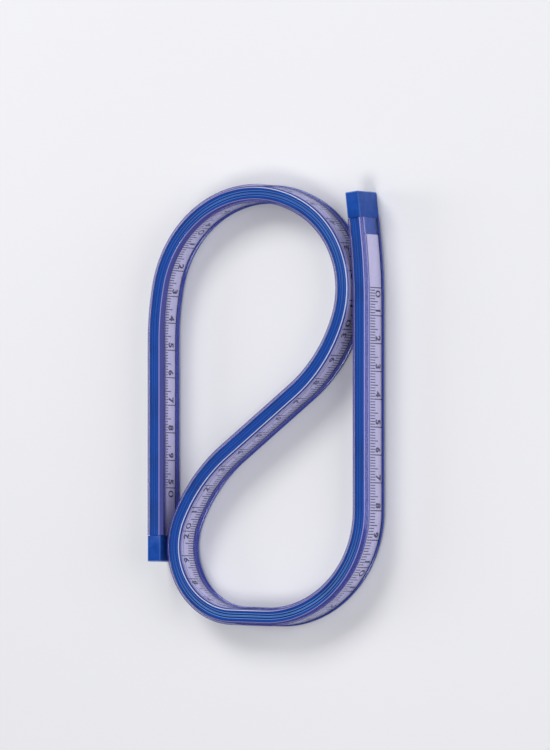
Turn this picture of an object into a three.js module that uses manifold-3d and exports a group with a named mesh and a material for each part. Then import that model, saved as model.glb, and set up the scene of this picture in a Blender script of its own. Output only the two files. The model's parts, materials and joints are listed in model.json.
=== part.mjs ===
// Flexible curve ruler, 50 cm, bent by hand into an S and standing on its lower lips.
// Millimetres, +Z up. The origin is the middle of the ruler's outline, on the plane it stands on.
// The ruler is one continuous band. Its bending is stood in for by seven lengths of band that are
// hinged end to end about upright axes, and each length holds every layer of the band.
import * as THREE from "three";
import { mergeVertices } from "three/addons/utils/BufferGeometryUtils.js";
import Module from "manifold-3d";

const wasm = await Module();
wasm.setup();

// Layers of the band, from the middle outwards. A tape's rise is from the band's middle height.
const leadThickness = 2.4;
const leadHeight = 6.6;
const stripThickness = 0.25;
const stripHeight = 7.2;
const coreSideWall = 0.6;
const coreCrown = 2.45;
const crownWidth = 3.3;
const shoulderDrop = 0.4;
const grooveWidth = 0.36;
const grooveDepth = 0.3;
const ribCount = 3;
const tapeThickness = 0.2;
const tapeHeight = 8.6;
const leftTapeRise = -0.8;
const rightTapeRise = 1.25;
const sleeveWall = 0.3;
const sleeveRoof = 0.5;
const roofWidth = 3.8;
const layerGap = 0.1;

// Lips of the sleeve, which the pencil runs along.
const lipReach = 0.45;
const lipDroop = 1.15;
const lipTipThickness = 0.6;
const lipRootThickness = 1.9;

// End caps, pushed over the core.
const capLength = 9.4;
const capEndWall = 1.4;
const capSideWall = 0.35;
const capChamfer = 0.4;

// The tapes start this far past the right cap, and run on into the left one.
const tapeInset = 6.1;

// The S, followed from the right-hand end. Turns are in degrees.
const rightTipLength = 16;
const leanLength = 24;
const leanTurn = 6.5;
const rightRunLength = 74.5;
const lowerRightTurn = 92;
const lowerFlatLength = 14.1;
const lowerLeftRadius = 25;
const lowerLeftTurn = 112;
const lowerEasingRadius = 60;
const lowerEasingTurn = 29;
const upperEasingRadius = 55;
const upperEasingTurn = 34;
const upperRightRadius = 34;
const upperRightTurn = 77;
const upperLeftRadius = 105;
const upperLeftTurn = 11;
const leftRunLength = 80;
const loopWidth = 77.6;
const rightRunClearance = 0.4;
const leftRunClearance = 1.5;

// Each hinge opens the S, and each layer is parted there by a slot that lets it.
const flexRange = 25;
const slotClearance = 0.15;

// Where the band bends it is cut into straight steps, no shorter than the least.
const turnPerStep = 6;
const leastStep = 0.3;

const overrun = 1;

// Sizes that follow from the ones above.
const channelHalfWidth = leadThickness / 2 + layerGap + stripThickness + layerGap;
const channelHalfHeight = Math.max(leadHeight, stripHeight) / 2 + layerGap;
const coreHalfWidth = channelHalfWidth + coreSideWall;
const coreHalfHeight = channelHalfHeight + coreCrown;
const tapeInner = coreHalfWidth + layerGap;
const tapeOuter = tapeInner + tapeThickness;
const sleeveInnerHalf = tapeOuter + layerGap;
const webHalf = sleeveInnerHalf + sleeveWall;
const lipHalf = webHalf + lipReach;
const boreHalfHeight = coreHalfHeight + layerGap;
const sleeveHalfHeight = boreHalfHeight + sleeveRoof;
const lipSlope = lipDroop / (lipHalf - roofWidth / 2);
const boreDrop = (sleeveInnerHalf - roofWidth / 2) * lipSlope;
const middleHeight = sleeveHalfHeight;
const socketHalf = coreHalfWidth + layerGap;
const capHalf = socketHalf + capSideWall;

const plastic = (color, roughness) => new THREE.MeshStandardMaterial({ color, roughness, metalness: 0 });
const metal = (color, roughness) => new THREE.MeshStandardMaterial({ color, roughness, metalness: 1 });
const materials = {
  clear: new THREE.MeshStandardMaterial({
    color: 0xdfe6f2,
    roughness: 0.12,
    metalness: 0,
    transparent: true,
    opacity: 0.35,
  }),
  blue: plastic(0x1a4696, 0.45),
  tape: plastic(0xe9e9f0, 0.5),
  lead: metal(0x6f7278, 0.6),
  steel: metal(0xb4b7bc, 0.3),
  cap: plastic(0x1746a0, 0.35),
};

const radians = THREE.MathUtils.degToRad;
const sine = (degrees) => Math.sin(radians(degrees));
const cosine = (degrees) => Math.cos(radians(degrees));

// Headings in degrees: 270 is down the runs and 90 is back up them. The loop turns right from 270
// to 90 at its left side, the crown turns left from 90 at its right side to 270 again.
const down = 270;
const lowerFlatHeading = down - lowerRightTurn;
const lowerEasingHeading = lowerFlatHeading - lowerLeftTurn;
const diagonalHeading = lowerEasingHeading - lowerEasingTurn;
const upperRightHeading = diagonalHeading + upperEasingTurn;
const crownHeading = upperRightHeading + upperRightTurn;
const upperLeftHeading = down - upperLeftTurn;

// The middle lines of neighbouring runs stand a band's width and a clearance apart. The loop's right
// radius, the diagonal and the crown's radius take up what the given sizes leave.
const bandWidth = 2 * lipHalf;
const rightSpacing = bandWidth + rightRunClearance;
const leftSpacing = bandWidth + leftRunClearance;
const archWidth = loopWidth + leftSpacing - rightSpacing;
const lowerRightRadius =
  (loopWidth + lowerFlatLength * cosine(lowerFlatHeading) - lowerLeftRadius * (1 - sine(lowerFlatHeading))) /
  (1 + sine(lowerFlatHeading));
const diagonalLength =
  (loopWidth -
    rightSpacing -
    lowerLeftRadius * (1 - sine(lowerEasingHeading)) -
    lowerEasingRadius * (sine(lowerEasingHeading) - sine(diagonalHeading)) -
    upperEasingRadius * (sine(upperRightHeading) - sine(diagonalHeading)) -
    upperRightRadius * (1 - sine(upperRightHeading))) /
  cosine(diagonalHeading);
const crownRadius =
  (archWidth - upperRightRadius * (1 - sine(crownHeading)) - upperLeftRadius * (1 + sine(upperLeftHeading))) /
  (sine(crownHeading) - sine(upperLeftHeading));

const straight = (name, length) => ({ name, length, turn: 0 });
const bend = (name, radius, turn) => ({ name, length: radius * radians(Math.abs(turn)), turn });
const stretches = [
  straight("right tip", rightTipLength),
  { name: "lean", length: leanLength, turn: -leanTurn },
  straight("right run", rightRunLength),
  bend("lower right", lowerRightRadius, -lowerRightTurn),
  straight("lower flat", lowerFlatLength),
  bend("lower left", lowerLeftRadius, -lowerLeftTurn),
  bend("lower easing", lowerEasingRadius, -lowerEasingTurn),
  straight("diagonal", diagonalLength),
  bend("upper easing", upperEasingRadius, upperEasingTurn),
  bend("upper right", upperRightRadius, upperRightTurn),
  bend("crown", crownRadius, upperLeftHeading - crownHeading),
  bend("upper left", upperLeftRadius, upperLeftTurn),
  straight("left run", leftRunLength),
];

// Steps along a stretch that starts at a place and heading, by its chord.
function follow(stretch, start, distance) {
  const turned = (stretch.turn * distance) / stretch.length;
  const half = radians(turned / 2);
  const chord = half === 0 ? distance : (distance * Math.sin(half)) / half;
  const along = start.heading + turned / 2;
  return {
    x: start.x + chord * cosine(along),
    y: start.y + chord * sine(along),
    heading: start.heading + turned,
  };
}

let cursor = { x: 0, y: 0, heading: down + leanTurn };
let travelled = 0;
for (const stretch of stretches) {
  stretch.begin = travelled;
  stretch.start = cursor;
  cursor = follow(stretch, cursor, stretch.length);
  travelled += stretch.length;
}
const bandLength = travelled;

function placeAt(distance) {
  const stretch = stretches.findLast((s) => s.begin <= distance) ?? stretches[0];
  return follow(stretch, stretch.start, distance - stretch.begin);
}

// The distances where every layer of the band is cut, so that the layers keep to their gaps.
const stations = stretches.flatMap(({ begin, length, turn }) => {
  const count = Math.max(1, Math.ceil(Math.abs(turn) / turnPerStep));
  return Array.from({ length: count }, (_, i) => begin + (length * i) / count);
});

// A length of the route with its rings. An extrusion along it has its sections upright and square
// to the band.
class BandPath extends THREE.Curve {
  constructor(from, to) {
    super();
    const between = stations.filter((distance) => distance > from + leastStep && distance < to - leastStep);
    this.rings = [from, ...between, to];
  }
  placeOf(u) {
    return placeAt(this.rings[Math.round(u * (this.rings.length - 1))]);
  }
  getPointAt(u, target = new THREE.Vector3()) {
    const { x, y } = this.placeOf(u);
    return target.set(x, y, 0);
  }
  getTangentAt(u, target = new THREE.Vector3()) {
    const { heading } = this.placeOf(u);
    return target.set(cosine(heading), sine(heading), 0);
  }
}

// Section points are [across, up] from the band's middle line, across being to the left of the
// direction of travel. Along the path, a shape's x runs down and its y runs to the left.
const toPath = ([across, up]) => new THREE.Vector2(-up - middleHeight, across);

function sweep(outline, hole, from, to) {
  const shape = new THREE.Shape(outline.map(toPath));
  if (hole) shape.holes.push(new THREE.Path(hole.map(toPath)));
  const path = new BandPath(from, to);
  return new THREE.ExtrudeGeometry(shape, { steps: path.rings.length - 1, extrudePath: path });
}

const rectangle = (left, right, halfHeight, rise = 0) => [
  [left, rise - halfHeight],
  [right, rise - halfHeight],
  [right, rise + halfHeight],
  [left, rise + halfHeight],
];

// A whole outline from its upper right quarter, which runs upwards.
function mirrored(quarter) {
  const upper = [...quarter, ...quarter.toReversed().map(([across, up]) => [-across, up])];
  return [...upper, ...upper.toReversed().map(([across, up]) => [across, -up])];
}

// A block with sloping shoulders beside its flat top and bottom.
const shouldered = (halfWidth, topHalfWidth, halfHeight, drop) =>
  mirrored([
    [halfWidth, halfHeight - drop],
    [topHalfWidth, halfHeight],
  ]);

// I-shaped sleeve: a flat roof, and lips that droop to their tips.
const sleeveOutline = mirrored([
  [webHalf, sleeveHalfHeight - lipRootThickness],
  [lipHalf, sleeveHalfHeight - lipDroop - lipTipThickness],
  [lipHalf, sleeveHalfHeight - lipDroop],
  [roofWidth / 2, sleeveHalfHeight],
]);
const sleeveBore = shouldered(sleeveInnerHalf, roofWidth / 2, boreHalfHeight, boreDrop);

// Core with sloping shoulders and, between them, an odd number of ribs parted by square grooves.
function coreOutline() {
  const quarter = [
    [coreHalfWidth, coreHalfHeight - shoulderDrop],
    [crownWidth / 2, coreHalfHeight],
  ];
  for (let i = 1; i <= ribCount / 2; i++) {
    const middle = crownWidth / 2 - (i * crownWidth) / ribCount;
    const [near, far] = [middle + grooveWidth / 2, middle - grooveWidth / 2];
    const floor = coreHalfHeight - grooveDepth;
    quarter.push([near, coreHalfHeight], [near, floor], [far, floor], [far, coreHalfHeight]);
  }
  return mirrored(quarter);
}

// Cap with its long edges chamfered, as tall as the sleeve.
const capOutline = shouldered(capHalf, capHalf - capChamfer, sleeveHalfHeight, capChamfer);

// Where each layer starts and ends along the band.
const coreEnds = [capEndWall + layerGap, bandLength - capEndWall - layerGap];
const sleeveEnds = [capLength + slotClearance, bandLength - capLength - slotClearance];
const tapeEnds = [sleeveEnds[0] + tapeInset, sleeveEnds[1]];

const stripInner = leadThickness / 2 + layerGap;
const stripOuter = stripInner + stripThickness;
const layers = [
  {
    name: "clear_sleeve",
    material: materials.clear,
    outline: sleeveOutline,
    hole: sleeveBore,
    ends: sleeveEnds,
    reach: lipHalf,
  },
  {
    name: "blue_core",
    material: materials.blue,
    outline: coreOutline(),
    hole: rectangle(-channelHalfWidth, channelHalfWidth, channelHalfHeight),
    ends: coreEnds,
    reach: coreHalfWidth,
  },
  {
    name: "lead_rod",
    material: materials.lead,
    outline: rectangle(-leadThickness / 2, leadThickness / 2, leadHeight / 2),
    ends: coreEnds,
    reach: leadThickness / 2,
  },
  {
    name: "left_spring_strip",
    material: materials.steel,
    outline: rectangle(stripInner, stripOuter, stripHeight / 2),
    ends: coreEnds,
    reach: stripOuter,
  },
  {
    name: "right_spring_strip",
    material: materials.steel,
    outline: rectangle(-stripOuter, -stripInner, stripHeight / 2),
    ends: coreEnds,
    reach: stripOuter,
  },
  {
    name: "left_scale_tape",
    material: materials.tape,
    outline: rectangle(tapeInner, tapeOuter, tapeHeight / 2, leftTapeRise),
    ends: tapeEnds,
    reach: tapeOuter,
  },
  {
    name: "right_scale_tape",
    material: materials.tape,
    outline: rectangle(-tapeOuter, -tapeInner, tapeHeight / 2, rightTapeRise),
    ends: tapeEnds,
    reach: tapeOuter,
  },
];

// The lengths of band, named from the right-hand end, and the hinge after each but the last.
const lengths = [
  "right_run",
  "lower_right_bend",
  "lower_left_bend",
  "diagonal",
  "upper_right_bend",
  "upper_left_bend",
  "left_run",
];
const hingePlaces = [
  { stretch: "lower right", share: 0.04 },
  { stretch: "lower right", share: 0.745 },
  { stretch: "lower left", share: 0.27 },
  { stretch: "crown", share: 0.045 },
  { stretch: "crown", share: 0.6 },
  { stretch: "upper left", share: 0.47 },
];
const hinges = hingePlaces.map(({ stretch: name, share }) => {
  const stretch = stretches.find((s) => s.name === name);
  return stretch.begin + share * stretch.length;
});

function meshOf(name, geometry, material) {
  const mesh = new THREE.Mesh(geometry, material);
  mesh.name = name;
  return mesh;
}

function solidOf(geometry) {
  geometry.deleteAttribute("normal");
  geometry.deleteAttribute("uv");
  const merged = mergeVertices(geometry);
  return new wasm.Manifold(
    new wasm.Mesh({
      numProp: 3,
      vertProperties: merged.attributes.position.array,
      triVerts: merged.index.array,
    }),
  );
}

// A cap is a block round the band's last length, with a socket for the core that stops at its end wall.
function capOf(name, from, to, socketFrom, socketTo) {
  const socket = rectangle(-socketHalf, socketHalf, boreHalfHeight);
  const cut = solidOf(sweep(capOutline, null, from, to)).subtract(
    solidOf(sweep(socket, null, socketFrom, socketTo)),
  );
  const { vertProperties, triVerts } = cut.getMesh();
  const geometry = new THREE.BufferGeometry();
  geometry.setAttribute("position", new THREE.BufferAttribute(vertProperties, 3));
  geometry.setIndex(new THREE.BufferAttribute(triVerts, 1));
  return meshOf(name, geometry, materials.cap);
}

const band = new THREE.Group();
for (const layer of layers) {
  const halfSlot = layer.reach * Math.tan(radians(flexRange / 2)) + slotClearance / 2;
  lengths.forEach((length, i) => {
    const from = i === 0 ? layer.ends[0] : hinges[i - 1] + halfSlot;
    const to = i === hinges.length ? layer.ends[1] : hinges[i] - halfSlot;
    band.add(meshOf(`${length}_${layer.name}`, sweep(layer.outline, layer.hole, from, to), layer.material));
  });
}
band.add(capOf("right_end_cap", 0, capLength, capEndWall, capLength + overrun));
const leftMouth = bandLength - capLength;
band.add(capOf("left_end_cap", leftMouth, bandLength, leftMouth - overrun, bandLength - capEndWall));

const box = new THREE.Box3().setFromObject(band);
const centre = box.getCenter(new THREE.Vector3());
band.position.set(-centre.x, -centre.y, 0);

// The ruler, with the places of its hinges and its route's stretches in its own frame.
const ruler = new THREE.Group();
ruler.add(band);
ruler.userData = {
  bandLength,
  hinges: hinges.map((distance) => placeAt(distance)),
  hingeDistances: hinges,
  stretches: stretches.map(({ name, length, turn }) => ({ name, length, turn })),
  shift: band.position.toArray(),
};

export default ruler;
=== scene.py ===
import json
import math

import bmesh
import bpy
from mathutils import Matrix, Vector
from mathutils.geometry import tessellate_polygon

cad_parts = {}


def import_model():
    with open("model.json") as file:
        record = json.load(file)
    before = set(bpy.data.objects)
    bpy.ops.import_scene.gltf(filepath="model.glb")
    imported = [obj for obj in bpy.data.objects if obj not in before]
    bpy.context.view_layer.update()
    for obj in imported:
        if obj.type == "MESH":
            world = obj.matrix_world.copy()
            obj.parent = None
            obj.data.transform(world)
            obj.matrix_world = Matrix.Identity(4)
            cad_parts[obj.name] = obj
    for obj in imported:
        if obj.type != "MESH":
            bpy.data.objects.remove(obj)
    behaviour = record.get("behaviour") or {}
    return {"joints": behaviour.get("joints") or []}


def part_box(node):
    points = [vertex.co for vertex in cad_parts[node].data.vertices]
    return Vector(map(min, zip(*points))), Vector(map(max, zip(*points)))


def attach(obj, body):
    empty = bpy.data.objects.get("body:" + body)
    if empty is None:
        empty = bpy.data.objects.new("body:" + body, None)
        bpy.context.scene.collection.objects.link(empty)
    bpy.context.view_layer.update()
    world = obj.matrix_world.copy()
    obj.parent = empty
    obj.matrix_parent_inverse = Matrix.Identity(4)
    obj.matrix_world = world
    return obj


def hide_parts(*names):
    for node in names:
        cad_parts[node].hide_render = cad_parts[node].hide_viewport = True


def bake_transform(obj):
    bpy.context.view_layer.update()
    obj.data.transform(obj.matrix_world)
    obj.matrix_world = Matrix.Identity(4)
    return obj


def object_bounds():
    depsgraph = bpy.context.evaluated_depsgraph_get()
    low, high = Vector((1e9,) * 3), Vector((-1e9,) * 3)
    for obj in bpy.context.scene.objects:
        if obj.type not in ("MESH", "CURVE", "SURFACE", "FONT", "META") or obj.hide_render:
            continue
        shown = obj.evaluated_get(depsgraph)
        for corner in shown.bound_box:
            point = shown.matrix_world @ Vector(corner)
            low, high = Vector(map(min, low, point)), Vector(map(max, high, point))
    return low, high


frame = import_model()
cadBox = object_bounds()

# Flexible curve ruler, bent in an S. Sizes below are in millimetres, angles in degrees.
mm = 0.001


# The camera is high above the ruler, tilted to its right side.
viewpoint = {
    "tilt": 30.5,  # off the vertical, towards +X
    "swing": 3.8,  # of that tilt, towards -Y
    "distance": 3600,
    "frameHeight": 270.6,  # what the picture's long side takes in at the ruler
    "aimFromStart": (-35.72, -65.08),  # picture's middle, seen from the band's first end
    "sensor": 36,
}

# The band's route, from the end where the scale starts.
route = {
    "runHeading": 270,  # both runs lie along -Y
    "rightTip": 16,
    "lean": 24,
    "leanTurn": 6.5,
    "rightRun": 74.5,
    "lowerRightTurn": 92,
    "lowerFlat": 14.1,
    "lowerLeftRadius": 25,
    "lowerLeftTurn": 112,
    "lowerEasingRadius": 60,
    "lowerEasingTurn": 29,
    "upperEasingRadius": 55,
    "upperEasingTurn": 34,
    "upperRightRadius": 34,
    "upperRightTurn": 77,
    "upperLeftRadius": 105,
    "upperLeftTurn": 11,
    "leftRun": 80,
    "loopWidth": 77.6,  # from the right run's middle line to the loop's far side
    "rightSpacing": 7.2,  # middle line to middle line, where the crown passes the right run
    "leftSpacing": 8.3,  # and where the loop passes the left run
}


def sine(degrees):
    return math.sin(math.radians(degrees))


def cosine(degrees):
    return math.cos(math.radians(degrees))


def routeStretches():
    # (length, turn to the left) of each straight and bend; what closes the route is worked out
    r = route
    flat = r["runHeading"] - r["lowerRightTurn"]
    easing = flat - r["lowerLeftTurn"]
    diagonal = easing - r["lowerEasingTurn"]
    upper = diagonal + r["upperEasingTurn"]
    crown = upper + r["upperRightTurn"]
    last = r["runHeading"] - r["upperLeftTurn"]
    lowerRightRadius = (
        r["loopWidth"] + r["lowerFlat"] * cosine(flat) - r["lowerLeftRadius"] * (1 - sine(flat))
    ) / (1 + sine(flat))
    diagonalLength = (
        r["loopWidth"]
        - r["rightSpacing"]
        - r["lowerLeftRadius"] * (1 - sine(easing))
        - r["lowerEasingRadius"] * (sine(easing) - sine(diagonal))
        - r["upperEasingRadius"] * (sine(upper) - sine(diagonal))
        - r["upperRightRadius"] * (1 - sine(upper))
    ) / cosine(diagonal)
    archWidth = r["loopWidth"] + r["leftSpacing"] - r["rightSpacing"]
    crownRadius = (
        archWidth
        - r["upperRightRadius"] * (1 - sine(crown))
        - r["upperLeftRadius"] * (1 + sine(last))
    ) / (sine(crown) - sine(last))

    def bend(radius, turn):
        return radius * math.radians(abs(turn)), turn

    return [
        (r["rightTip"], 0),
        (r["lean"], -r["leanTurn"]),
        (r["rightRun"], 0),
        bend(lowerRightRadius, -r["lowerRightTurn"]),
        (r["lowerFlat"], 0),
        bend(r["lowerLeftRadius"], -r["lowerLeftTurn"]),
        bend(r["lowerEasingRadius"], -r["lowerEasingTurn"]),
        (diagonalLength, 0),
        bend(r["upperEasingRadius"], r["upperEasingTurn"]),
        bend(r["upperRightRadius"], r["upperRightTurn"]),
        bend(crownRadius, last - crown),
        bend(r["upperLeftRadius"], r["upperLeftTurn"]),
        (r["leftRun"], 0),
    ]


def follow(stretch, start, distance):
    # place and heading this far along a stretch
    length, turn = stretch
    turned = turn * distance / length
    half = math.radians(turned / 2)
    chord = distance if half == 0 else distance * math.sin(half) / half
    x, y, heading = start
    along = heading + turned / 2
    return x + chord * cosine(along), y + chord * sine(along), heading + turned


stretches = []  # (distance at its start, the stretch, place and heading at its start)
travelled, place = 0, (0, 0, route["runHeading"] + route["leanTurn"])
for stretch in routeStretches():
    stretches.append((travelled, stretch, place))
    place = follow(stretch, place, stretch[0])
    travelled += stretch[0]
bandLength = travelled

# The last end lies at the left cap's end face, and fixes where the route is in the frame.
capLow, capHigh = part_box("left_end_cap")
startX = (capLow.x + capHigh.x) / 2 / mm - place[0]
startY = capLow.y / mm - place[1]
midHeight = (cadBox[0].z + cadBox[1].z) / 2 / mm


def placeAt(distance):
    begin, stretch, start = [s for s in stretches if s[0] <= max(distance, 0)][-1]
    x, y, heading = follow(stretch, start, distance - begin)
    return x + startX, y + startY, heading


def bandPoint(distance, across, up):
    # across is to the left of the way of travel, up is from the band's middle height
    x, y, heading = placeAt(distance)
    return Vector((x - across * sine(heading), y + across * cosine(heading), up + midHeight)) * mm


def hingeDistance(joint):
    # the distance along the band at which a joint's axis stands
    hinge, step = Vector(joint["pos_m"][:2]) / mm, 0.05
    steps = [i * step for i in range(int(bandLength / step))]
    return min(steps, key=lambda s: (Vector(placeAt(s)[:2]) - hinge).length)


# The pieces are made in the CAD's lengths, and named after them. Each but the diagonal bends at one
# hinge, between two bodies.
flexing = {
    "right_run": ("lower_right_flex", "right_run", "lower_right_bend"),
    "lower_right_bend": ("bottom_flex", "lower_right_bend", "lower_left_bend"),
    "lower_left_bend": ("lower_left_flex", "lower_left_bend", "diagonal"),
    "upper_right_bend": ("upper_right_flex", "diagonal", "upper_right_bend"),
    "upper_left_bend": ("crown_flex", "upper_right_bend", "upper_left_bend"),
    "left_run": ("upper_left_flex", "upper_left_bend", "left_run"),
}
pieceRules = {
    "diagonalMargin": 46,  # from the diagonal's two hinges to the seams of its own piece
    "flexReach": 18,  # the band bends over this far each side of a hinge
    "ringStep": 1.2,
}
hingeAt = {joint["name"]: hingeDistance(joint) for joint in frame["joints"]}
order = ["right_run", "lower_right_bend", "lower_left_bend", "diagonal"]
order += ["upper_right_bend", "upper_left_bend", "left_run"]
sides = (("left", 1), ("right", -1))  # of the band, with the sign of across


def seamsOfPieces():
    lower = [hingeAt[flexing[name][0]] for name in order[:3]]
    upper = [hingeAt[flexing[name][0]] for name in order[4:]]
    seams = [0, (lower[0] + lower[1]) / 2, (lower[1] + lower[2]) / 2]
    seams += [lower[2] + pieceRules["diagonalMargin"], upper[0] - pieceRules["diagonalMargin"]]
    seams += [(upper[0] + upper[1]) / 2, (upper[1] + upper[2]) / 2, bandLength]
    return seams


seams = seamsOfPieces()
print("route:", round(bandLength, 1), "mm, seams at", [round(s) for s in seams])


def bindToBand(piece, name):
    # the diagonal's piece is parented to its body; any other piece only has its transform applied
    if name == "diagonal":
        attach(piece, "diagonal")
        return
    joint, before, after = flexing[name]
    x, y, heading = placeAt(hingeAt[joint])
    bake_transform(piece)


def rounded(corners, steps=4):
    # outline of a polygon whose corners (across, up, radius) are turned into short curves
    outline = []
    for i, (x, y, radius) in enumerate(corners):
        corner = Vector((x, y))
        before = Vector(corners[i - 1][:2]) - corner
        after = Vector(corners[(i + 1) % len(corners)][:2]) - corner
        bendAngle = math.pi - before.angle(after)
        if radius == 0 or bendAngle < 1e-3:  # nothing to round
            outline.append((x, y))
            continue
        room = 0.49 * min(before.length, after.length)  # so that two curves on one side don't meet
        reach = min(radius * math.tan(bendAngle / 2), room)
        first = corner + before.normalized() * reach
        last = corner + after.normalized() * reach
        for k in range(steps + 1):
            t = k / steps
            outline.append(tuple(first * (1 - t) ** 2 + corner * (2 * t * (1 - t)) + last * t**2))
    return outline


def mirroredCorners(quarter):
    # whole outline from its upper right quarter, which runs upwards
    upper = quarter + [(-x, y, r) for x, y, r in reversed(quarter)]
    return upper + [(x, -y, r) for x, y, r in reversed(upper)]


def ringDistances(begin, end):
    count = max(1, math.ceil((end - begin) / pieceRules["ringStep"]))
    return [begin + (end - begin) * i / count for i in range(count + 1)]


def newPiece(name, mesh, material):
    piece = bpy.data.objects.new(name, mesh)
    bpy.context.scene.collection.objects.link(piece)
    mesh.materials.append(material)
    return piece


def bandMesh(name, vertices, faces, places, sharpAngle=40):
    # vertices in metres, and places, which say where they are on the straight band, in mm:
    # (distance, across, up). The materials read the places.
    mesh = bpy.data.meshes.new(name)
    mesh.from_pydata(vertices, [], faces)
    attribute = mesh.attributes.new("bandPlace", "FLOAT_VECTOR", "POINT")
    attribute.data.foreach_set("vector", [value for place in places for value in place])
    mesh.shade_smooth()
    mesh.set_sharp_from_angle(angle=math.radians(sharpAngle))
    mesh.update()
    return mesh


def sweep(name, outlines, begin, end, closedEnds, shape=None):
    # outlines is [outer] or [outer, inner], both the same way round; shape moves a section's point
    vertices, faces, places = [], [], []
    distances = ringDistances(begin, end)
    for inner, outline in enumerate(outlines):
        base, count = len(places), len(outline)
        for distance in distances:
            for across, up in outline:
                if shape:
                    across, up = shape(distance, across, up)
                places.append((distance, across, up))
                vertices.append(bandPoint(distance, across, up))
        for ring in range(len(distances) - 1):
            for k in range(count):
                a = base + ring * count + k
                b = base + ring * count + (k + 1) % count
                quad = (a, b, b + count, a + count)
                faces.append(quad if inner else quad[::-1])
    for ring, wanted in ((0, closedEnds[0]), (len(distances) - 1, closedEnds[1])):
        if not wanted:
            continue
        loops, index, base = [], [], 0
        for outline in outlines:
            loops.append([Vector((x, y, 0)) for x, y in outline])
            index += [base + ring * len(outline) + k for k in range(len(outline))]
            base += len(distances) * len(outline)
        for triangle in tessellate_polygon(loops):
            corners = [index[k] for k in triangle]
            area = sum(
                places[corners[k]][1] * places[corners[(k + 1) % 3]][2]
                - places[corners[(k + 1) % 3]][1] * places[corners[k]][2]
                for k in range(3)
            )
            facesForward = area > 0  # seen against the way of travel, across runs to the right
            faces.append(tuple(corners if facesForward == (ring > 0) else corners[::-1]))
    return bandMesh(name, vertices, faces, places)


class Wire:
    # a node's output socket, so that sums of masks read as sums
    def __init__(self, finish, socket):
        self.finish, self.socket = finish, socket

    def __add__(self, other):
        return self.finish.maths("ADD", self, other)

    def __radd__(self, other):
        return self.finish.maths("ADD", other, self)

    def __sub__(self, other):
        return self.finish.maths("SUBTRACT", self, other)

    def __rsub__(self, other):
        return self.finish.maths("SUBTRACT", other, self)

    def __mul__(self, other):
        return self.finish.maths("MULTIPLY", self, other)

    def __rmul__(self, other):
        return self.finish.maths("MULTIPLY", other, self)

    def __truediv__(self, other):
        return self.finish.maths("DIVIDE", self, other)

    def __rtruediv__(self, other):
        return self.finish.maths("DIVIDE", other, self)

    def __abs__(self):
        return self.finish.maths("ABSOLUTE", self)


class Finish:
    def __init__(self, name):
        self.material = bpy.data.materials.new(name)
        self.material.use_nodes = True
        self.tree = self.material.node_tree
        self.tree.nodes.clear()

    def node(self, kind, settings=None, sockets=None, output=0):
        made = self.tree.nodes.new(kind)
        for key, value in (settings or {}).items():
            setattr(made, key, value)
        for key, value in (sockets or {}).items():
            if isinstance(value, Wire):
                self.tree.links.new(value.socket, made.inputs[key])
            else:
                made.inputs[key].default_value = value
        return Wire(self, made.outputs[output]) if made.outputs else None

    def maths(self, operation, a, b=0.0):
        return self.node("ShaderNodeMath", {"operation": operation}, {0: a, 1: b})

    def place(self):
        # distance, across and up on the straight band, in mm
        return self.node("ShaderNodeAttribute", {"attribute_name": "bandPlace"}, output=1)

    def parts(self, vector):
        split = self.node("ShaderNodeSeparateXYZ", sockets={0: vector}).socket.node
        return [Wire(self, split.outputs[i]) for i in range(3)]

    def stretched(self, vector, scale):
        return self.node("ShaderNodeVectorMath", {"operation": "MULTIPLY"}, {0: vector, 1: scale})

    def noise(self, vector, scale=1.0, detail=2.0, roughness=0.5):
        sockets = {"Vector": vector, "Scale": scale, "Detail": detail, "Roughness": roughness}
        return self.node("ShaderNodeTexNoise", sockets=sockets)

    def ramp(self, value, low, high, first=0.0, last=1.0):
        # smooth step from first to last as the value goes from low to high
        sockets = {"Value": value, "From Min": low, "From Max": high, "To Min": first, "To Max": last}
        return self.node("ShaderNodeMapRange", {"interpolation_type": "SMOOTHSTEP"}, sockets)

    def fall(self, value, low, high):
        # the same from 1 to 0
        return self.ramp(value, low, high, 1.0, 0.0)

    def mixed(self, factor, a, b):
        return self.node("ShaderNodeMix", {"data_type": "RGBA"}, {0: factor, 6: a, 7: b}, output=2)

    def bump(self, height, distance, strength):
        # distance in mm
        sockets = {"Height": height, "Distance": distance * mm, "Strength": strength}
        return self.node("ShaderNodeBump", sockets=sockets)

    def surface(self, sockets):
        return self.node("ShaderNodeBsdfPrincipled", sockets=sockets)

    def finish(self, shader):
        self.node("ShaderNodeOutputMaterial", sockets={0: shader})
        return self.material


def colour(red, green, blue):
    return (red, green, blue, 1.0)


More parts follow.
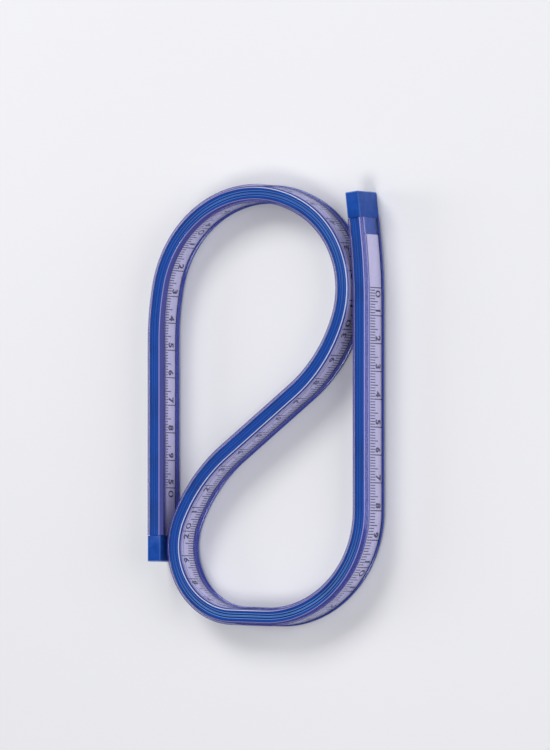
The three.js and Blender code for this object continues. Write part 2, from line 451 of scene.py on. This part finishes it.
coreSize = {
    "halfWidth": 2.25,
    "halfHeight": 6.15,
    "crownHalf": 1.65,
    "shoulderDrop": 0.4,
    "grooveWidth": 0.36,
    "grooveDepth": 0.3,
    "ribs": 3,
    "shoulderRadius": 0.2,
    "crownRadius": 0.15,
    "ribRadius": 0.12,
    "grooveRadius": 0.08,
    "channelHalfWidth": 1.65,
    "channelHalfHeight": 3.7,
    "endInset": 1.5,
}
blueVinyl = {  # a ramp is given by low and high, or by low, high, first and last
    "base": colour(0.002, 0.059, 0.35),
    "pale": colour(0.003, 0.078, 0.42),
    # deep is also the grooves' painted shade, besides the darker clouds
    "deep": colour(0.001, 0.016, 0.13),
    # painted highlight on the ribs' edges
    "ribHighlight": colour(0.2, 0.42, 0.82),
    "bends": ((172, 1.0), (395, 0.6)),  # the two bends' middles, and how much each shows
    "bendReach": (25, 62),
    "gloss": colour(0.04, 0.42, 1.0),
    "glossLevel": 0.25,
    "roughness": (0.3, 0.8, 0.3, 0.42),
    "drawLines": (0.05, 5.0, 5.0),  # extrusion lines, drawn out along the band
    "lineDepth": 0.02,
    "paleLines": (0.35, 0.7),
    "deepClouds": (0.4, 0.75, 0.0, 0.35),
    "crownStart": 0.06,  # below the grooves' floor
    "grooveEdge": 0.08,
    # on the straights the grooves are painted paler, against their shade
    "paleGroove": 0.5,
    "ribHighlightReach": (0.05, 0.15),
    # how strong the ribs' painted highlights are
    "ribHighlightShare": (0.1, 0.8),  # the ribs' edges on the straights, and how much a bend adds
    "ribHighlightLines": (0.3, 0.6, 0.4, 1.0),
}


def makeBlueVinyl():
    c = blueVinyl
    f = Finish("blue vinyl")
    place = f.place()
    distance, across, up = f.parts(place)
    lines = f.noise(f.stretched(place, c["drawLines"]), detail=3.0, roughness=0.6)
    clouds = f.noise(place, scale=0.09)
    base = f.mixed(f.ramp(lines, *c["paleLines"]), c["base"], c["pale"])
    base = f.mixed(f.ramp(clouds, *c["deepClouds"]), base, c["deep"])
    # painted shade darkens the grooves and painted highlights lighten the ribs' edges where the band is
    # bent most; on the straights the grooves are painted paler, against their shade
    floorLevel = coreSize["halfHeight"] - coreSize["grooveDepth"]
    grooveMiddle = coreSize["crownHalf"] / coreSize["ribs"]
    fromGroove = abs(abs(across) - grooveMiddle)
    crown = f.ramp(abs(up), floorLevel - c["crownStart"], floorLevel)
    wall = coreSize["grooveWidth"] / 2
    groove = crown * f.fall(fromGroove, wall, wall + c["grooveEdge"])
    ribHighlight = crown * f.fall(abs(fromGroove - 2 * wall), *c["ribHighlightReach"])
    bends = [
        f.ramp(abs(distance - middle), *c["bendReach"], strength, 0.0)
        for middle, strength in c["bends"]
    ]
    bent = bends[0] + bends[1]
    base = f.mixed(groove * bent, base, c["deep"])
    base = f.mixed(groove * (1 - bent) * c["paleGroove"], base, c["pale"])
    onStraight, added = c["ribHighlightShare"]
    ribHighlight = ribHighlight * (onStraight + added * bent) * f.ramp(lines, *c["ribHighlightLines"])
    base = f.mixed(ribHighlight, base, c["ribHighlight"])
    return f.finish(
        f.surface(
            {
                "Base Color": base,
                "Roughness": f.ramp(lines, *c["roughness"]),
                "Normal": f.bump(lines, c["lineDepth"], strength=0.5),
                "Specular IOR Level": c["glossLevel"],
                "Specular Tint": c["gloss"],
            }
        )
    )


def coreOutline():
    c = coreSize
    top, bottom = c["halfHeight"], c["halfHeight"] - c["grooveDepth"]
    # from the shoulder over the top to the middle, rib by rib
    quarter = [(c["halfWidth"], top - c["shoulderDrop"], c["shoulderRadius"])]
    quarter.append((c["crownHalf"], top, c["crownRadius"]))
    for i in range(1, c["ribs"] // 2 + 1):
        middle = c["crownHalf"] - 2 * c["crownHalf"] * i / c["ribs"]
        near, far = middle + c["grooveWidth"] / 2, middle - c["grooveWidth"] / 2
        quarter += [(near, top, c["ribRadius"]), (near, bottom, c["grooveRadius"])]
        quarter += [(far, bottom, c["grooveRadius"]), (far, top, c["ribRadius"])]
    return rounded(mirroredCorners(quarter), 3)


def box(halfWidth, halfHeight, radius=0.0, centre=0.0, steps=2):
    corners = ((1, -1), (1, 1), (-1, 1), (-1, -1))
    return rounded([(x * halfWidth + centre, y * halfHeight, radius) for x, y in corners], steps)


def layerPieces(layer, outlines, ends, material, shape=None):
    # one piece of the layer for each length of band, in the place of the CAD's
    for i, name in enumerate(order):
        begin, end = max(seams[i], ends[0]), min(seams[i + 1], ends[1])
        closed = (i == 0, i == len(order) - 1)
        mesh = sweep(f"{name}_{layer}_band", outlines, begin, end, closed, shape)
        piece = newPiece(f"{name}_{layer}_band", mesh, material)
        bindToBand(piece, name)
        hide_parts(f"{name}_{layer}")


coreEnds = (coreSize["endInset"], bandLength - coreSize["endInset"])
channel = box(coreSize["channelHalfWidth"], coreSize["channelHalfHeight"])
layerPieces("blue_core", [coreOutline(), channel], coreEnds, makeBlueVinyl())
print("blue core made")


leadRod = {
    "halfWidth": 1.2,
    "halfHeight": 3.3,
    "radius": 0.15,
    "colours": (colour(0.14, 0.15, 0.17), colour(0.25, 0.26, 0.28)),
    "roughness": (0.3, 0.7, 0.5, 0.7),
    "grain": (0.5, 1.5, 1.5),
}
springStrip = {
    "halfWidth": 0.125,
    "halfHeight": 3.6,
    "radius": 0.04,
    "middle": 1.425,  # from the band's middle
    "colours": (colour(0.42, 0.43, 0.45), colour(0.6, 0.61, 0.63)),
    "roughness": (0.3, 0.7, 0.22, 0.36),
    "grain": (0.04, 6.0, 6.0),  # rolling lines along the strip
}


def makeMetal(name, metal):
    f = Finish(name)
    grain = f.noise(f.stretched(f.place(), metal["grain"]), detail=4.0, roughness=0.6)
    return f.finish(
        f.surface(
            {
                "Base Color": f.mixed(grain, *metal["colours"]),
                "Metallic": 1.0,
                "Roughness": f.ramp(grain, *metal["roughness"]),
                "Normal": f.bump(grain, distance=0.01, strength=0.4),
            }
        )
    )


section = box(leadRod["halfWidth"], leadRod["halfHeight"], leadRod["radius"])
layerPieces("lead_rod", [section], coreEnds, makeMetal("dull lead", leadRod))
springSteel = makeMetal("rolled spring steel", springStrip)
for side, sign in sides:
    middle = sign * springStrip["middle"]
    section = box(springStrip["halfWidth"], springStrip["halfHeight"], springStrip["radius"], middle)
    layerPieces(f"{side}_spring_strip", [section], coreEnds, springSteel)
print("lead and strips made")


scaleTape = {
    "inner": 2.35,
    "outer": 2.55,
    "halfHeight": 4.3,
    "firstInset": 15.65,  # from the band's two ends
    "lastInset": 9.55,
    "edgeRadius": 0.05,
    "drift": (-1.1, 0.3),  # the left tape's rise off the band's middle, at first and at last
    "driftFrom": 300,
    "driftTo": 500,
    "rightRise": 1.25,  # the right tape's
    "white": colour(0.72, 0.67, 0.84),
    "paler": colour(0.78, 0.73, 0.88),
    "streak": colour(0.62, 0.58, 0.8),
    "roughness": (0.3, 0.7, 0.36, 0.5),
    "mottle": (0.35, 0.7),
    "streaks": (0.4, 0.7, 0.0, 0.4),
    "streakGrain": (0.02, 1.0, 1.2),
}
scale = {
    "zero": 34.6,
    "centimetres": 50,
    "lineWidth": (0.34, 0.34, 0.36),
    "lineLength": (3.5, 5.5, 8.35),  # millimetre, five millimetres, centimetre
    "edge": 0.12,  # of the tape, left white below the lines
    "digitHeight": 3.6,
    "digitWidth": 2.3,
    "narrowing": 0.85,  # keeps the 1 thinner than the other digits
    "zeroWidth": 2.6,  # the 0 is rounder than the other digits, and drawn finer
    "boldness": 0.042,
    "zeroBoldness": 0.01,
    "digitFoot": 3.85,
    "digitAside": 1.8,  # from a centimetre's line back to the middle of its digit
    "pairAside": 2.2,  # a pair of digits stands this far each side of its line
    "slice": 0.3,  # a digit is cut across this often, so that it follows a bend
    "lift": 0.03,  # of the marks off the tape
    "inks": (colour(0.01, 0.01, 0.03), colour(0.028, 0.026, 0.07)),
    "inkPatches": (0.35, 0.75),
    "inkRoughness": (0.3, 0.7, 0.4, 0.6),
}


def tapeDrift(distance, across):
    if across < 0:
        return scaleTape["rightRise"]
    t = (distance - scaleTape["driftFrom"]) / (scaleTape["driftTo"] - scaleTape["driftFrom"])
    t = min(1, max(0, t))
    first, last = scaleTape["drift"]
    return first + (last - first) * t * t * (3 - 2 * t)


def driftedTape(distance, across, up):
    return across, up + tapeDrift(distance, across)


def makeTapeWhite():
    f = Finish("white scale tape")
    place = f.place()
    mottle = f.noise(place, scale=0.8, detail=4.0, roughness=0.6)
    streaks = f.noise(f.stretched(place, scaleTape["streakGrain"]))
    base = f.mixed(f.ramp(mottle, *scaleTape["mottle"]), scaleTape["white"], scaleTape["paler"])
    base = f.mixed(f.ramp(streaks, *scaleTape["streaks"]), base, scaleTape["streak"])
    return f.finish(
        f.surface(
            {
                "Base Color": base,
                "Roughness": f.ramp(mottle, *scaleTape["roughness"]),
                "Normal": f.bump(mottle, distance=0.01, strength=0.4),
            }
        )
    )


def makeInk():
    f = Finish("slate printing ink")
    patches = f.noise(f.place(), scale=6.0, detail=3.0, roughness=0.6)
    base = f.mixed(f.ramp(patches, *scale["inkPatches"]), *scale["inks"])
    rough = f.ramp(patches, *scale["inkRoughness"])
    return f.finish(f.surface({"Base Color": base, "Roughness": rough}))


def glyphShape(character):
    # a digit's flat mesh, in mm from the middle of its foot, cut into slices so that it can bend
    curve = bpy.data.curves.new("digit", "FONT")
    curve.body = character
    curve.resolution_u = 3
    curve.offset = scale["zeroBoldness"] if character == "0" else scale["boldness"]
    writing = bpy.data.objects.new("digit", curve)
    bpy.context.scene.collection.objects.link(writing)
    bpy.context.view_layer.update()
    drawn = writing.evaluated_get(bpy.context.evaluated_depsgraph_get())
    shape = bmesh.new()
    shape.from_mesh(drawn.to_mesh())
    drawn.to_mesh_clear()
    bpy.data.objects.remove(writing)
    bpy.data.curves.remove(curve)
    xs = [v.co.x for v in shape.verts]
    ys = [v.co.y for v in shape.verts]
    drawnWidth, drawnHeight = max(xs) - min(xs), max(ys) - min(ys)
    natural = drawnWidth * scale["digitHeight"] / drawnHeight
    width = min(scale["digitWidth"], natural * scale["narrowing"])
    if character == "0":
        width = scale["zeroWidth"]
    for v in shape.verts:
        x = (v.co.x - (max(xs) + min(xs)) / 2) / drawnWidth
        y = (v.co.y - min(ys)) / drawnHeight
        v.co = (x * width, y * scale["digitHeight"], 0)
    for i in range(1, int(scale["digitWidth"] / scale["slice"])):
        everything = shape.verts[:] + shape.edges[:] + shape.faces[:]
        cut = (i * scale["slice"] - scale["digitWidth"] / 2, 0, 0)
        bmesh.ops.bisect_plane(shape, geom=everything, plane_co=cut, plane_no=(1, 0, 0))
    shape.verts.index_update()
    points = [tuple(v.co.xy) for v in shape.verts]
    shapes = [[v.index for v in face.verts] for face in shape.faces]
    shape.free()
    return points, shapes


digits = {character: glyphShape(character) for character in "0123456789"}


def scaleMarks():
    # (distance, foot, points, faces) of each line and digit, on the tape's own flat
    marks = []
    square = [[0, 1, 2, 3]]
    for i in range(scale["centimetres"] * 10 + 1):
        kind = 2 if i % 10 == 0 else 1 if i % 5 == 0 else 0
        half, length = scale["lineWidth"][kind] / 2, scale["lineLength"][kind]
        points = [(-half, 0), (half, 0), (half, length), (-half, length)]
        marks.append((scale["zero"] + i, scale["edge"], points, square))
    for centimetre in range(scale["centimetres"] + 1):
        label = str(centimetre) if centimetre % 10 == 0 else str(centimetre % 10)
        middle = scale["zero"] + centimetre * 10
        # a single digit stands before its line, but the first 0 past it
        back = -scale["digitAside"] if centimetre else scale["pairAside"]
        for k, character in enumerate(label):
            aside = back if len(label) == 1 else scale["pairAside"] * (2 * k - 1)
            marks.append((middle + aside, scale["digitFoot"], *digits[character]))
    return marks


marks = scaleMarks()


def marksMesh(name, sign, begin, end):
    # the marks on one side of a length of band, just above the tape
    across = sign * (scaleTape["outer"] + scale["lift"])
    vertices, faces, places = [], [], []
    for distance, foot, points, shapes in marks:
        if not begin <= distance < end:
            continue
        base = len(vertices)
        for x, y in points:
            # the left tape is read upside down, from the side that it faces
            up = sign * (scaleTape["halfHeight"] - foot - y) + tapeDrift(distance, across)
            places.append((distance + x, across, up))
            vertices.append(bandPoint(*places[-1]))
        faces += [[base + k for k in face] for face in shapes]
    return bandMesh(name, vertices, faces, places)


tapeEnds = (scaleTape["firstInset"], bandLength - scaleTape["lastInset"])
tapeWhite, ink = makeTapeWhite(), makeInk()
for side, sign in sides:
    middle = sign * (scaleTape["inner"] + scaleTape["outer"]) / 2
    halfThickness = (scaleTape["outer"] - scaleTape["inner"]) / 2
    section = box(halfThickness, scaleTape["halfHeight"], scaleTape["edgeRadius"], middle)
    layerPieces(f"{side}_scale_tape", [section], tapeEnds, tapeWhite, driftedTape)
    for i, name in enumerate(order):
        marksName = f"{name}_{side}_scale_marks"
        mesh = marksMesh(marksName, sign, seams[i], seams[i + 1])
        bindToBand(newPiece(marksName, mesh, ink), name)
print("tapes and", len(marks), "marks a side made")


sleeveSize = {
    "webHalf": 2.95,
    "lipHalf": 3.34,  # a hair inside the CAD's, whose bends are coarser
    "halfHeight": 6.75,
    "roofHalf": 1.9,
    "lipDroop": 1.15,
    "tipThickness": 0.6,
    "rootThickness": 1.9,
    "boreHalf": 2.65,
    "boreHalfHeight": 6.25,
    "rootRadius": 0.15,
    "tipRadii": (0.16, 0.2),  # the lower and the upper one
    "roofRadius": 0.3,
    "boreRadius": 0.1,
    "endInset": 9.55,
}
clearVinyl = {
    "clear": colour(0.01, 0.07, 0.36),  # seen on the roof, over the blue
    "web": colour(0.53, 0.48, 0.78),
    # the lip's dark violet is painted shade, with the core's blue painted in as if seen through the
    # clear vinyl
    "lip": colour(0.08, 0.062, 0.37),
    # the lines are painted highlights
    "line": colour(0.4, 0.39, 0.8),
    "brightLine": colour(0.8, 0.84, 1.0),
    "shade": colour(0.008, 0.035, 0.3),
    # painted light: a deep blue below the tape, lighter than the shade there
    "underTape": colour(0.05, 0.06, 0.42),
    # painted shade on the left run's upper lip and web
    "leftRunShade": colour(0.028, 0.031, 0.23),
    "mirrored": colour(0.42, 0.57, 1.0),
    "through": colour(0.98, 0.98, 1.0),  # what the light that passes is tinted with
    "roofHaze": 0.02,
    "webHaze": 0.035,
    "lipHaze": (0.36, 0.06),  # in general, and where it is clearer
    "lineHaze": (0.32, 0.62),
    "darkLineHaze": 0.55,
    "tipLineHaze": 0.3,
    "underTapeHaze": 0.62,
    "leftRunShadeHaze": 0.54,
    "leftRunShadeRoughness": 0.45,
    "roughness": (0.3, 0.8, 0.12, 0.2),
    "drawLines": (0.01, 1.6, 1.6),
    "hazeLines": (0.2, 0.8, 0.9, 1.1),
    "violetDrift": (0.02, 0.0, 0.0),  # along the band only
    "violet": (0.3, 0.7, 0.75, 1.0),
    "faceOn": 0.03,  # share of the light that the vinyl mirrors, seen straight on
    "glancing": 0.7,  # and more of it at a glancing angle
    "glancingPower": 5,
    # places along the band
    "tipLineEnd": (110, 140),
    "clearerMiddle": 290,
    "clearerReach": (105, 130),
    # where the left run's painted shade lies, and how far down the web it reaches
    "shadedLipFrom": (405, 450),
    "shadedWebFrom": (445, 490),
    "shadedWebEnd": 1.5,  # height at which the web is clear again
    "shadedWebShare": 1.3,
    # places of the painted lines outside the roof's edge, and of the gleam outside the web
    "roofLineOut": 0.15,
    "darkLineOut": 0.58,
    "gleamOut": 0.25,
    # how strong each is: the gleam takes away painted shade, the others are painted shade
    "gleam": 0.3,
    "tipShade": 0.5,
    "rootShade": 0.1,
}
zoneEdges = {  # each zone's soft edge, from the place that it is measured from
    "top": (0.0, 0.5),
    "right": (-0.5, 0.5),
    "lipRoot": (-0.1, 0.1),
    "lipSide": (0.05, 0.2),
    "tip": (-0.16, -0.04),
    "roofLine": (0.1, 0.22),
    "roofLineFoot": (-0.6, -0.4),
    "tipShade": (-0.12, 0.05),
    "rootShade": (0.05, 0.2),
    "gleam": (0.0, 0.1),
    "darkLine": (0.06, 0.16),
    "darkLineFoot": (-0.9, -0.7),
    "underTape": (0.05, 0.2),
    "underTapeEnd": (-0.05, 0.1),
    "shadedWeb": (-0.1, 0.0),
    "tipLine": (-0.1, 0.05),
    "web": (-0.6, 0.0),
}


def sleeveZones(f):
    # a mask for each zone of the sleeve that looks different, most of them for painted light and shade
    s, c = sleeveSize, clearVinyl
    distance, across, up = f.parts(f.place())
    wide, high = abs(across), abs(up)
    top, roof, web = s["halfHeight"], s["roofHalf"], s["webHalf"]
    root = top - s["rootThickness"]
    tipMiddle = top - s["lipDroop"] - s["tipThickness"] / 2

    def past(edge, value, place=0.0):
        return f.ramp(value, *[place + offset for offset in zoneEdges[edge]])

    def before(edge, value, place=0.0):
        return f.fall(value, *[place + offset for offset in zoneEdges[edge]])

    onTop, onRight = past("top", up), before("right", across)
    inLip = past("lipRoot", high, root) * past("lipSide", wide, roof)
    tip = past("tip", wide, s["lipHalf"])
    # painted highlights run along the roof's edges as pale lines, and painted shade darkens the lips'
    # lower halves
    roofLine = before("roofLine", abs(wide - roof - c["roofLineOut"])) * past("roofLineFoot", high, top)
    tipShade = tip * before("tipShade", high, tipMiddle) * c["tipShade"]
    rootShade = inLip * before("rootShade", wide, web) * c["rootShade"]
    # the lower lips are painted in shade, less so in a strip just outside the web
    gleam = before("gleam", abs(wide - web - c["gleamOut"]))
    footShade = inLip * (1 - c["gleam"] * gleam)
    # along the diagonal the right upper lip is clearer, with a painted highlight line and a painted
    # shade line at the roof
    clearer = onRight * f.fall(abs(distance - c["clearerMiddle"]), *c["clearerReach"])
    darkLine = onTop * clearer * before("darkLine", abs(wide - roof - c["darkLineOut"]))
    # below the tape the web is painted a deep blue, lighter than the shade that falls on the blue
    # behind it
    sunk = f.ramp(distance, scaleTape["driftFrom"], scaleTape["driftTo"], *scaleTape["drift"])
    sunk = sunk * (1 - onRight) + onRight * scaleTape["rightRise"]
    underTape = before("underTape", up - sunk + scaleTape["halfHeight"])
    # along the left run painted shade darkens the left upper lip and the web below it
    shadedLip = inLip * (1 - roofLine) * f.ramp(distance, *c["shadedLipFrom"])
    shadedWeb = f.ramp(up, c["shadedWebEnd"], root) * before("shadedWeb", up, root)
    shadedWeb = shadedWeb * f.ramp(distance, *c["shadedWebFrom"])
    # on the right run a painted highlight runs along the left lip's tip too
    tipLine = tip * onTop * (1 - onRight) * past("tipLine", high, tipMiddle)
    return {
        "lip": inLip,
        "web": before("web", high, root),
        "roofLine": roofLine,
        "shade": (tipShade + rootShade) * onTop + footShade * (1 - onTop),
        "clearer": clearer,
        "darkLine": darkLine * past("darkLineFoot", high, top),
        "underTape": underTape * before("underTapeEnd", high, root),
        "leftRunShade": onTop * (1 - onRight) * (shadedLip + shadedWeb * c["shadedWebShare"]),
        "tipLine": tipLine * f.fall(distance, *c["tipLineEnd"]),
    }


def sleeveTint(f, zone):
    c = clearVinyl
    # mixes the vinyl's tints with the zones' painted shade, painted highlights and painted deep blue
    drift = f.noise(f.stretched(f.place(), c["violetDrift"]), detail=1.0)
    violet = zone["lip"] * f.ramp(drift, *c["violet"])
    tint = f.mixed(violet, f.mixed(zone["web"], c["clear"], c["web"]), c["lip"])
    tint = f.mixed(zone["leftRunShade"], tint, c["leftRunShade"])
    tint = f.mixed(zone["roofLine"], tint, f.mixed(zone["clearer"], c["line"], c["brightLine"]))
    tint = f.mixed(zone["tipLine"], tint, c["line"])
    tint = f.mixed(zone["shade"], tint, c["shade"])
    tint = f.mixed(zone["underTape"], tint, c["underTape"])
    return f.mixed(zone["darkLine"], tint, c["shade"])


def sleeveHaze(zone):
    # how much of the vinyl's tint, painted light and shade included, hides what is behind it
    c = clearVinyl
    lip, clearerLip = c["lipHaze"]
    line, clearerLine = c["lineHaze"]
    haze = zone["underTape"] * c["underTapeHaze"] + c["roofHaze"]
    haze = haze + zone["web"] * (c["webHaze"] - c["roofHaze"])
    haze = haze + zone["lip"] * (lip - zone["clearer"] * (lip - clearerLip))
    haze = haze + zone["leftRunShade"] * c["leftRunShadeHaze"]
    haze = haze + zone["roofLine"] * (line + zone["clearer"] * (clearerLine - line))
    haze = haze + zone["darkLine"] * c["darkLineHaze"] + zone["tipLine"] * c["tipLineHaze"]
    return haze + zone["shade"]


def makeClearVinyl():
    c = clearVinyl
    f = Finish("clear vinyl")
    zone = sleeveZones(f)
    lines = f.noise(f.stretched(f.place(), c["drawLines"]), roughness=0.4)
    haze = sleeveHaze(zone) * f.ramp(lines, *c["hazeLines"])
    # what the vinyl mirrors is added to its haze as a share of polished metal
    facing = f.node("ShaderNodeLayerWeight", sockets={"Blend": 0.5}, output=1)
    glancing = c["glancing"] * f.maths("POWER", facing, c["glancingPower"])
    factor = f.maths("MINIMUM", haze + c["faceOn"] + glancing, 1.0)
    mirrored = c["faceOn"] / (haze + c["faceOn"])
    sheet = f.surface(
        {
            "Base Color": f.mixed(mirrored, sleeveTint(f, zone), c["mirrored"]),
            "Metallic": mirrored,
            "Roughness": f.ramp(lines, *c["roughness"]) + zone["leftRunShade"] * c["leftRunShadeRoughness"],
        }
    )
    through = f.node("ShaderNodeBsdfTransparent", sockets={"Color": c["through"]})
    return f.finish(f.node("ShaderNodeMixShader", sockets={0: factor, 1: through, 2: sheet}))


def sleeveOutlines():
    s = sleeveSize
    top = s["halfHeight"]
    outer = [
        (s["webHalf"], top - s["rootThickness"], s["rootRadius"]),
        (s["lipHalf"], top - s["lipDroop"] - s["tipThickness"], s["tipRadii"][0]),
        (s["lipHalf"], top - s["lipDroop"], s["tipRadii"][1]),
        (s["roofHalf"], top, s["roofRadius"]),
    ]
    boreDrop = (s["boreHalf"] - s["roofHalf"]) * s["lipDroop"] / (s["lipHalf"] - s["roofHalf"])
    bore = [
        (s["boreHalf"], s["boreHalfHeight"] - boreDrop, s["boreRadius"]),
        (s["roofHalf"], s["boreHalfHeight"], s["boreRadius"]),
    ]
    return [rounded(mirroredCorners(outer), 4), rounded(mirroredCorners(bore), 2)]


sleeveEnds = (sleeveSize["endInset"], bandLength - sleeveSize["endInset"])
layerPieces("clear_sleeve", sleeveOutlines(), sleeveEnds, makeClearVinyl())
print("clear sleeve made")


endCap = {
    "halfWidth": 2.7,
    "halfHeight": 6.75,
    "length": 9.4,
    "edge": 0.4,
    "endWall": 1.4,
    "socketHalfWidth": 2.35,
    "socketHalfHeight": 6.25,
    "socketRadius": 0.1,
    "mouthEdge": 0.1,
    "arcSteps": 5,
    "base": colour(0.004, 0.05, 0.29),
    "pale": colour(0.009, 0.07, 0.37),
    # the edges' painted highlight
    "edgeHighlight": colour(0.13, 0.24, 0.6),
    "gloss": colour(0.45, 0.6, 1.0),
    "glossLevel": 0.35,
    "roughness": (0.3, 0.7, 0.3, 0.44),
    "grainDepth": 0.012,
    "drawLines": (0.08, 2.5, 2.5),
    "paleClouds": (0.35, 0.7),
    "paleLines": (0.45, 0.75, 0.0, 0.5),
    "highlightReach": (0.5, 0.3),  # in from the cap's sides
    "highlightSides": (-0.5, 0.5, 1.0, 0.3),  # from the outer side to the inner one
    "highlightEndStart": (0.0, 0.05),
    "highlightEndReach": (0.25, 0.5),
    "highlightGrain": (0.3, 0.6, 0.35, 0.9),
}


def makeCapVinyl():
    c = endCap
    f = Finish("moulded cap vinyl")
    place = f.place()
    distance, across, up = f.parts(place)
    grain = f.noise(place, scale=3.0, detail=4.0, roughness=0.65)
    clouds = f.noise(place, scale=0.35)
    lines = f.noise(f.stretched(place, c["drawLines"]))
    base = f.mixed(f.ramp(clouds, *c["paleClouds"]), c["base"], c["pale"])
    base = f.mixed(f.ramp(lines, *c["paleLines"]), base, c["pale"])
    # painted highlights make the cap paler along the long edges, mostly the outer ones, and round the
    # closed end
    low, high = c["highlightReach"]
    sideEdge = f.ramp(abs(across), c["halfWidth"] - low, c["halfWidth"] - high)
    sideEdge = sideEdge * f.ramp(across, *c["highlightSides"])
    sideEdge = sideEdge * f.ramp(abs(up), c["halfHeight"] - low, c["halfHeight"] - high)
    toEnd = f.maths("MINIMUM", distance, bandLength - distance)
    endEdge = f.fall(toEnd, *c["highlightEndReach"]) * f.ramp(toEnd, *c["highlightEndStart"])
    edgeHighlight = f.maths("MAXIMUM", sideEdge, endEdge)
    base = f.mixed(edgeHighlight * f.ramp(grain, *c["highlightGrain"]), base, c["edgeHighlight"])
    return f.finish(
        f.surface(
            {
                "Base Color": base,
                "Roughness": f.ramp(grain, *c["roughness"]),
                "Normal": f.bump(grain, c["grainDepth"], strength=0.5),
                "Specular IOR Level": c["glossLevel"],
                "Specular Tint": c["gloss"],
            }
        )
    )


def capMesh(name, outerEnd, inward):
    # rings as (depth, inset) from the rounded closed end to the mouth, then back down the socket
    c = endCap
    steps = c["arcSteps"]
    rings = [(0.0, c["edge"])]
    for k in range(1, steps + 1):
        angle = 90 * k / steps
        rings.append((c["edge"] * (1 - cosine(angle)), c["edge"] * (1 - sine(angle))))
    rings.append((c["length"] / 2, 0.0))
    rings.append((c["length"] - c["mouthEdge"], 0.0))
    rings.append((c["length"], c["mouthEdge"]))
    vertices, faces, places = [], [], []

    def addRing(depth, outline):
        first = len(vertices)
        for across, up in outline:
            places.append((outerEnd + inward * depth, across, up))
            vertices.append(bandPoint(*places[-1]))
        return list(range(first, len(vertices)))

    def join(a, b):
        for k in range(len(a)):
            following = (k + 1) % len(a)
            faces.append((a[k], a[following], b[following], b[k]))

    def capOutline(inset):
        radius = max(c["edge"] - inset, 0.02)  # never quite sharp, so that each ring has as many points
        return box(c["halfWidth"] - inset, c["halfHeight"] - inset, radius, steps=steps)

    loops = [addRing(depth, capOutline(inset)) for depth, inset in rings]
    for first, second in zip(loops, loops[1:]):
        join(first, second)
    socket = box(c["socketHalfWidth"], c["socketHalfHeight"], c["socketRadius"], steps=steps)
    mouth = addRing(c["length"], socket)
    floor = addRing(c["endWall"], socket)
    join(loops[-1], mouth)
    join(mouth, floor)
    faces.append(tuple(reversed(loops[0])))
    faces.append(tuple(floor))
    if inward > 0:
        faces = [tuple(reversed(face)) for face in faces]
    return bandMesh(name, vertices, faces, places, sharpAngle=50)


caps = (("right_end_cap", 0, 1, "right_run"), ("left_end_cap", bandLength, -1, "left_run"))
capVinyl = makeCapVinyl()
for name, outerEnd, inward, body in caps:
    cap = newPiece(f"{name}_moulding", capMesh(name, outerEnd, inward), capVinyl)
    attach(cap, body)
    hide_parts(name)
print("caps made")


stage = {
    "floorSize": 6000,
    "floorDrop": 0.02,
    "floorTones": (colour(0.78, 0.78, 0.8), colour(0.84, 0.84, 0.86)),
    "floorRoughness": 0.7,
    "worldColour": colour(0.9, 0.92, 1.0),
    "worldStrength": 0.16,
}


def makeFloor():
    f = Finish("pale floor")
    spots = f.noise(f.node("ShaderNodeTexCoord", output=3), scale=3.0, detail=3.0)
    tone = f.mixed(spots, *stage["floorTones"])
    return f.finish(f.surface({"Base Color": tone, "Roughness": stage["floorRoughness"]}))


floorMesh = bpy.data.meshes.new("floor")
half = stage["floorSize"] / 2 * mm
corners = [(-half, -half, 0), (half, -half, 0), (half, half, 0), (-half, half, 0)]
floorMesh.from_pydata(corners, [], [(0, 1, 2, 3)])
floorMesh.materials.append(makeFloor())
floor = bpy.data.objects.new("floor", floorMesh)
bpy.context.scene.collection.objects.link(floor)
floor.location.z = cadBox[0].z - stage["floorDrop"] * mm

world = bpy.data.worlds.new("studio")
bpy.context.scene.world = world
world.use_nodes = True
backdrop = world.node_tree.nodes["Background"]
backdrop.inputs["Color"].default_value = stage["worldColour"]
backdrop.inputs["Strength"].default_value = stage["worldStrength"]

middle = (cadBox[0] + cadBox[1]) / 2
lamps = {  # each lamp's place from the ruler's middle and its size, in metres
    "key": {"from": (-0.3, 0.7, 0.8), "size": 0.5, "power": 6.4},
    "fill": {"from": (0.95, 0.1, 0.5), "size": 0.7, "power": 5.2},
    "overhead": {"from": (0.12, -0.4, 1.0), "size": 0.35, "power": 3.4},
    "rim": {"from": (-0.95, 0.05, 0.4), "size": 0.4, "power": 2.6},
}
for name, lamp in lamps.items():
    light = bpy.data.lights.new(name, "AREA")
    light.size, light.energy = lamp["size"], lamp["power"]
    holder = bpy.data.objects.new(name, light)
    holder.location = middle + Vector(lamp["from"])
    holder.rotation_euler = (middle - holder.location).to_track_quat("-Z", "Y").to_euler()
    bpy.context.scene.collection.objects.link(holder)


def placeCamera():
    v = viewpoint
    level = sine(v["tilt"])
    towards = Vector((level * cosine(v["swing"]), -level * sine(v["swing"]), cosine(v["tilt"])))
    aim = Vector((startX + v["aimFromStart"][0], startY + v["aimFromStart"][1], midHeight))
    right = Vector((0, 1, 0)).cross(towards).normalized()
    upward = towards.cross(right)
    camera = bpy.data.objects.new("camera", bpy.data.cameras.new("camera"))
    bpy.context.scene.collection.objects.link(camera)
    turn = Matrix((right, upward, towards)).transposed().to_4x4()
    camera.matrix_world = Matrix.Translation((aim + towards * v["distance"]) * mm) @ turn
    camera.data.sensor_width = v["sensor"]
    camera.data.lens = v["sensor"] * v["distance"] / v["frameHeight"]
    camera.data.clip_end = 3 * v["distance"] * mm
    bpy.context.scene.camera = camera


placeCamera()
bpy.context.scene.view_settings.view_transform = "Standard"
print("stage set")
